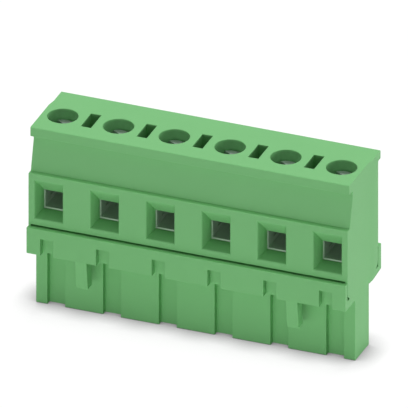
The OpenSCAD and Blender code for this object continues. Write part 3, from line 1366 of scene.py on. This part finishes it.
@dataclass(frozen=True)
class ClampingScrew:
    """Slotted screw with a turned cheese head and a rolled thread."""

    row: Row
    number: int
    head_radius: float = 1.75
    head_height: float = 1.8
    rim_radius: float = 0.2
    rim_steps: int = 4
    tip_chamfer: float = 0.1
    thread_radius: float = 1.5
    thread_pitch: float = 0.5
    thread_depth: float = 0.3
    thread_steps: int = 24
    # How far the foot of the thread is sunk in the neck
    thread_sink: float = 0.02
    slot_width: float = 0.8
    slot_depth: float = 0.9
    slot_rim: float = 0.06
    slot_angle: float = 150.0

    @property
    def core(self) -> float:
        """Radius of the neck at the root of the thread."""
        return self.thread_radius - self.thread_depth

    def head(self) -> BMesh:
        """Turns the head and its plain neck, and cuts the driver slot.

        Returns:
            The head with its neck.
        """
        row, core = self.row, self.core
        centre = row.axis(self.number) + Vector((0, 0, row.head_top))
        tip = row.screw_tip - row.head_top
        outline = [
            (0, 0),
            (self.head_radius, 0),
            (self.head_radius, -self.head_height),
            (core, -self.head_height),
            (core, tip + self.tip_chamfer),
            (core - self.tip_chamfer, tip),
            (0, tip),
        ]
        bm = bmesh.new()
        turned(bm, outline, centre)

        def on_head_rim(edge: BMEdge) -> bool:
            """Picks the edges that are rolled.

            Args:
                edge: Edge of the screw.

            Returns:
                Whether it is on the outer rim of the head.
            """
            rim = self.head_radius - SAME_POINT
            return all((vert.co - centre).to_2d().length > rim for vert in edge.verts)

        roll_edges(bm, self.rim_radius, on_head_rim, self.rim_steps)
        cut = bmesh.new()
        half = self.slot_width / 2
        mouth = Opening(0, (-self.head_radius - OVER, -half), (self.head_radius + OVER, half))
        end = Opening(-self.slot_depth, mouth.low, mouth.high)
        passage(cut, Axis.DOWNWARD, mouth, end, self.slot_rim)
        turn = Matrix.Rotation(math.radians(self.slot_angle), 4, "Z")
        bmesh.ops.transform(cut, matrix=Matrix.Translation(centre) @ turn, verts=cut.verts)
        return combined(bm, cut, Join.CUT)

    def thread(self) -> BMesh:
        """Winds the thread by spinning the outline of one tooth up the neck.

        Returns:
            The thread, closed at both ends, with its foot sunk in the neck.
        """
        row, steps = self.row, self.thread_steps
        axis = row.axis(self.number)
        foot = self.core - self.thread_sink
        start = row.screw_tip + self.tip_chamfer
        length = row.head_top - self.head_height - start - self.thread_pitch
        turns = int(length / self.thread_pitch)
        # Flat crest of a metric thread, and half of the flat between two teeth
        flat = self.thread_pitch / 8
        gap = self.thread_pitch / 16
        tooth = [
            (foot, gap),
            (self.thread_radius, (self.thread_pitch - flat) / 2),
            (self.thread_radius, (self.thread_pitch + flat) / 2),
            (foot, self.thread_pitch - gap),
        ]
        bm = bmesh.new()
        verts = [bm.verts.new((axis.x + r, axis.y, start + z)) for r, z in tooth]
        edges = [bm.edges.new(pair) for pair in zip(verts, [*verts[1:], verts[0]])]
        bmesh.ops.spin(
            bm,
            geom=[*verts, *edges],
            cent=axis,
            axis=(0, 0, 1),
            dvec=(0, 0, self.thread_pitch / steps),
            angle=math.tau * turns,
            steps=steps * turns,
            use_merge=False,
            use_duplicate=False,
        )
        ends = [edge for edge in bm.edges if edge.is_boundary]
        bmesh.ops.holes_fill(bm, edges=ends, sides=len(tooth))
        bmesh.ops.recalc_face_normals(bm, faces=bm.faces)
        return bm

    def build(self) -> bpy.types.Object:
        """Builds the screw and dresses it.

        Returns:
            The piece.
        """
        bm = self.head()
        absorb(bm, self.thread())
        return piece_of(
            f"clamping_screw_{self.number}",
            bm,
            ZINC_PLATED_STEEL,
            f"screw_body_{self.number}",
            [f"screw_{self.number}"],
        )


@dataclass(frozen=True)
class TensionSleeve:
    """Closed metal frame that the screw lifts to clamp the conductor."""

    row: Row
    number: int
    wall: float = 0.6
    floor: float = 0.7
    collar: float = 2.0
    corner_radius: float = 0.4
    corner_steps: int = 6
    edge_radius: float = 0.05
    edge_steps: int = 2
    mouth_chamfer: float = 0.14
    bore_radius: float = 1.55
    bore_steps: int = 48
    # The bore runs down the side walls, as far as the screw reaches into the raised sleeve
    relief_low: float = 14.9

    def box(self) -> tuple[Vector, Vector]:
        """Returns the lowest and the highest corner of the lowered sleeve."""
        shift = self.row.axis(self.number) - self.row.axis(1)
        return self.row.sleeve_low + shift, self.row.sleeve_high + shift

    def ring(self) -> BMesh:
        """Shapes the rounded block that the frame is cut from.

        Returns:
            The block.
        """
        low, high = self.box()
        places = ((low.x, low.z), (high.x, low.z), (high.x, high.z), (low.x, high.z))
        bm = bmesh.new()
        corners = [bm.verts.new((x, low.y, z)) for x, z in places]
        bm.faces.new(corners)
        for corner in corners:
            round_corner(bm, corner, self.corner_radius, self.corner_steps)
        cap = extruded(bm, list(bm.faces), keep=True)
        bmesh.ops.translate(bm, vec=(0, high.y - low.y, 0), verts=corners_of(cap))
        bmesh.ops.recalc_face_normals(bm, faces=bm.faces)
        roll_edges(bm, self.edge_radius, steps=self.edge_steps)
        return bm

    def window(self) -> BMesh:
        """Shapes the window for the conductor, with its chamfered mouths.

        Returns:
            The shape to cut out.
        """
        low, high = self.box()
        c = self.mouth_chamfer
        corner_low = (low.x + self.wall, low.z + self.floor)
        corner_high = (high.x - self.wall, high.z - self.collar)
        stations = [
            Opening(low.y - c, corner_low, corner_high).grown(2 * c),
            Opening(low.y + c, corner_low, corner_high),
            Opening(high.y - c, corner_low, corner_high),
            Opening(high.y + c, corner_low, corner_high).grown(2 * c),
        ]
        bm = bmesh.new()
        loft(bm, Axis.BACKWARD, stations)
        return bm

    def bore(self) -> BMesh:
        """Shapes the bore of the screw.

        Returns:
            The shape to cut out.
        """
        top = self.box()[1].z
        c = self.mouth_chamfer
        outline = [
            (0, top + OVER),
            (self.bore_radius + c + OVER, top + OVER),
            (self.bore_radius, top - c),
            (self.bore_radius, self.relief_low),
            (0, self.relief_low),
        ]
        bm = bmesh.new()
        turned(bm, outline, self.row.axis(self.number), self.bore_steps)
        return bm

    def build(self) -> bpy.types.Object:
        """Builds the sleeve and dresses it.

        Returns:
            The piece.
        """
        bm = self.ring()
        for tool in (self.window(), self.bore()):
            bm = combined(bm, tool, Join.CUT)
        return piece_of(
            f"tension_sleeve_{self.number}",
            bm,
            NICKEL_STEEL_PAINTED_GREEN_REFLECTION,
            f"sleeve_body_{self.number}",
            [f"sleeve_{self.number}"],
        )


@dataclass(frozen=True)
class SpringContact:
    """Stamped contact: current bar, leg behind the sleeve, bridge and two spring leaves."""

    row: Row
    number: int
    # Places from front to back are measured from the axis of the screw
    strip_width: float = 2.4
    thickness: float = 0.5
    bend: float = 0.85
    leaf_bend: float = 0.65
    bar_front: float = -2.4
    bar_top: float = 17.3
    leg_back: float = 3.5
    bridge_front: float = -1.15
    leaf_width: float = 2.0
    leaf_behind: float = 0.5
    leaf_straight_to: float = 8.73
    tip_low: float = 1.55
    pinch_rise: float = 1.8
    tip_gap: float = 1.3
    pinch_gap: float = 0.7

    def lead(self) -> BMesh:
        """Bends the current bar, the leg and the bridge from one strip.

        Returns:
            The strip.
        """
        half, floor = self.strip_width / 2, self.row.floor
        axis = self.row.axis(self.number)
        path = [
            Vector((axis.x - half, axis.y + depth, height))
            for depth, height in (
                (self.bar_front, self.bar_top),
                (self.leg_back, self.bar_top),
                (self.leg_back, floor),
                (self.bridge_front, floor),
            )
        ]
        return strip_of(path, Vector((2 * half, 0, 0)), self.thickness, self.bend)

    def leaves(self) -> BMesh:
        """Bends the two spring leaves as an arch that hangs from the bridge.

        Returns:
            The arch.
        """
        half, axis = self.strip_width / 2, self.row.axis(self.number)
        side = [
            (self.tip_gap / 2 + self.thickness, self.tip_low),
            (self.pinch_gap / 2 + self.thickness, self.tip_low + self.pinch_rise),
            (half, self.leaf_straight_to),
            (half, self.row.floor + self.thickness),
        ]
        front = axis.y + self.leaf_behind - self.leaf_width / 2
        path = [Vector((axis.x + across, front, height)) for across, height in side]
        path += [Vector((axis.x - across, front, height)) for across, height in reversed(side)]
        return strip_of(path, Vector((0, self.leaf_width, 0)), self.thickness, self.leaf_bend)

    def build(self) -> bpy.types.Object:
        """Builds the contact and dresses it.

        Returns:
            The piece.
        """
        bm = combined(self.lead(), self.leaves(), Join.WELD)
        return piece_of(
            f"spring_contact_{self.number}",
            bm,
            TINNED_BRONZE,
            SHELLS,
            [f"contact_{self.number}"],
        )


# Studio


@dataclass(frozen=True)
class Softbox:
    """Soft lamp at arm's length that looks at the object, in metres and watts."""

    name: str
    towards: tuple[float, float, float]
    power: float
    width: float
    height: float
    distance: float = 0.6
    aim_height: float = 0.013

    def build(self) -> None:
        """Places the lamp."""
        data = bpy.data.lights.new(self.name, "AREA")
        data.shape = "RECTANGLE"
        data.size = self.width
        data.size_y = self.height
        data.energy = self.power
        lamp = bpy.data.objects.new(self.name, data)
        way = Vector(self.towards).normalized()
        lamp.location = Vector((0, 0, self.aim_height)) + way * self.distance
        lamp.rotation_mode = "QUATERNION"
        lamp.rotation_quaternion = way.to_track_quat("Z", "Y")
        bpy.context.scene.collection.objects.link(lamp)


@dataclass(frozen=True)
class Studio:
    """Pale floor, soft plain light and the camera."""

    # Camera: its angles in degrees, and its frame, aim and distance in millimetres
    azimuth: float = 21.31
    elevation: float = 28.2
    frame_width: float = 51.93
    aim: tuple[float, float, float] = (0.16, -0.34, 17.32)
    distance: float = 300.0
    clip: tuple[float, float] = (10.0, 10000.0)
    # Strength of the light from all sides
    sky: float = 0.22
    floor_width: float = 3000.0
    floor_tone: float = 0.8
    # Keeps the floor clear of the faces that stand on it
    floor_drop: float = 0.01
    # Reach and depth of the soft shadow round the foot, painted from ambient occlusion into the
    # floor's glow and colour
    contact_reach: float = 3.5
    contact_depth: float = 1.15
    contact_samples: int = 8
    # What the eye sees of the floor: mostly plain white, and a share of the light on it
    floor_white: float = 0.92
    floor_share: float = 0.12
    lamps: tuple[Softbox, ...] = (
        Softbox("overhead", (0.0, 0.08, 1.0), 2.4, 0.15, 0.15),
        Softbox("low_right", (0.9, 0.42, 0.14), 1.27, 0.4, 0.15),
        Softbox("low_front", (0.1, -1.0, 0.05), 1.05, 0.5, 0.08),
    )

    def camera(self) -> None:
        """Places the camera."""
        data = bpy.data.cameras.new("camera")
        data.type = "ORTHO"
        data.ortho_scale = self.frame_width * MM
        data.clip_start, data.clip_end = (value * MM for value in self.clip)
        camera = bpy.data.objects.new("camera", data)
        a, e = math.radians(self.azimuth), math.radians(self.elevation)
        back = Vector((math.sin(a) * math.cos(e), -math.cos(a) * math.cos(e), math.sin(e)))
        camera.location = (Vector(self.aim) + back * self.distance) * MM
        camera.rotation_mode = "QUATERNION"
        camera.rotation_quaternion = (-back).to_track_quat("-Z", "Y")
        bpy.context.scene.collection.objects.link(camera)
        bpy.context.scene.camera = camera

    def world(self) -> None:
        """Lights the scene evenly, and shows white to the eye and in reflections."""
        world = bpy.data.worlds.new("studio_sky")
        world.use_nodes = True
        tree = world.node_tree
        tree.nodes.clear()
        strength = add_node(
            tree,
            "ShaderNodeMapRange",
            None,
            {"Value": seen_rays(tree), "To Min": self.sky, "To Max": 1.0},
        )
        sky = add_node(
            tree,
            "ShaderNodeBackground",
            None,
            {"Color": linear("#FFFFFF"), "Strength": strength.outputs["Result"]},
        )
        add_node(tree, "ShaderNodeOutputWorld", None, {"Surface": sky.outputs["Background"]})
        bpy.context.scene.world = world

    def laminate(self) -> bpy.types.Material:
        """Makes the floor's material: white round the object's shadow, with a painted contact
        shadow from ambient occlusion that darkens both its glow and its colour.

        Returns:
            The material.
        """
        material = blank_material("matt_white_floor_painted_shadow")
        tree = material.node_tree
        seen = seen_rays(tree)
        # Painted contact shadow: ambient occlusion near the object, deepened by a power, darkens
        # the floor's white glow and its colour
        near = add_node(
            tree,
            "ShaderNodeAmbientOcclusion",
            {"samples": self.contact_samples},
            {"Distance": self.contact_reach * MM},
        )
        painted_shadow_factor = add_node(
            tree,
            "ShaderNodeMath",
            {"operation": "POWER"},
            {0: near.outputs["AO"], 1: self.contact_depth},
        ).outputs["Value"]
        share = add_node(
            tree,
            "ShaderNodeMix",
            {"data_type": "FLOAT"},
            {"Factor": seen, "A": self.floor_tone, "B": self.floor_share},
        )
        # The floor's colour is darkened near the object by the painted shade, which also dims the
        # light that it throws back
        tone = add_node(
            tree,
            "ShaderNodeMath",
            {"operation": "MULTIPLY"},
            {0: painted_shadow_factor, 1: share.outputs["Result"]},
        )
        colour = add_node(
            tree,
            "ShaderNodeCombineXYZ",
            None,
            {axis: tone.outputs["Value"] for axis in "XYZ"},
        )
        matt = add_node(
            tree, "ShaderNodeBsdfDiffuse", None, {"Color": colour.outputs["Vector"]}
        )
        glow = add_node(
            tree,
            "ShaderNodeMath",
            {"operation": "MULTIPLY"},
            {0: painted_shadow_factor, 1: seen},
        )
        strength = add_node(
            tree,
            "ShaderNodeMath",
            {"operation": "MULTIPLY"},
            {0: glow.outputs["Value"], 1: self.floor_white},
        )
        white = add_node(
            tree,
            "ShaderNodeEmission",
            None,
            {"Color": linear("#FFFFFF"), "Strength": strength.outputs["Value"]},
        )
        both = add_node(
            tree,
            "ShaderNodeAddShader",
            None,
            {0: matt.outputs["BSDF"], 1: white.outputs["Emission"]},
        )
        add_node(tree, "ShaderNodeOutputMaterial", None, {"Surface": both.outputs["Shader"]})
        return material

    def floor(self) -> None:
        """Lays the pale floor."""
        bm = bmesh.new()
        below = Matrix.Translation((0, 0, -self.floor_drop * MM))
        half = self.floor_width * MM / 2
        bmesh.ops.create_grid(bm, x_segments=1, y_segments=1, size=half, matrix=below)
        mesh = bpy.data.meshes.new("floor")
        bm.to_mesh(mesh)
        bm.free()
        mesh.materials.append(self.laminate())
        floor = bpy.data.objects.new("floor", mesh)
        bpy.context.scene.collection.objects.link(floor)

    def build(self) -> None:
        """Builds the studio round the object."""
        self.world()
        self.floor()
        for lamp in self.lamps:
            lamp.build()
        bpy.context.scene.view_settings.view_transform = "Standard"
        LOG.info("studio: floor, sky and lamps")


def main() -> None:
    """Builds the terminal block and its studio in order."""
    logging.basicConfig(level=logging.INFO, format="%(message)s")
    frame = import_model()
    studio = Studio()
    studio.camera()
    poles = sum(name.startswith("contact_") and name[-1].isdigit() for name in frame["nodes"])
    row = Row.from_frame(poles)
    ScrewHousing(row).build()
    ContactCarrier(row).build()
    for number in range(1, poles + 1):
        for kind in (ClampingScrew, TensionSleeve, SpringContact):
            kind(row, number).build()
    studio.build()


if __name__ == "__main__":
    main()
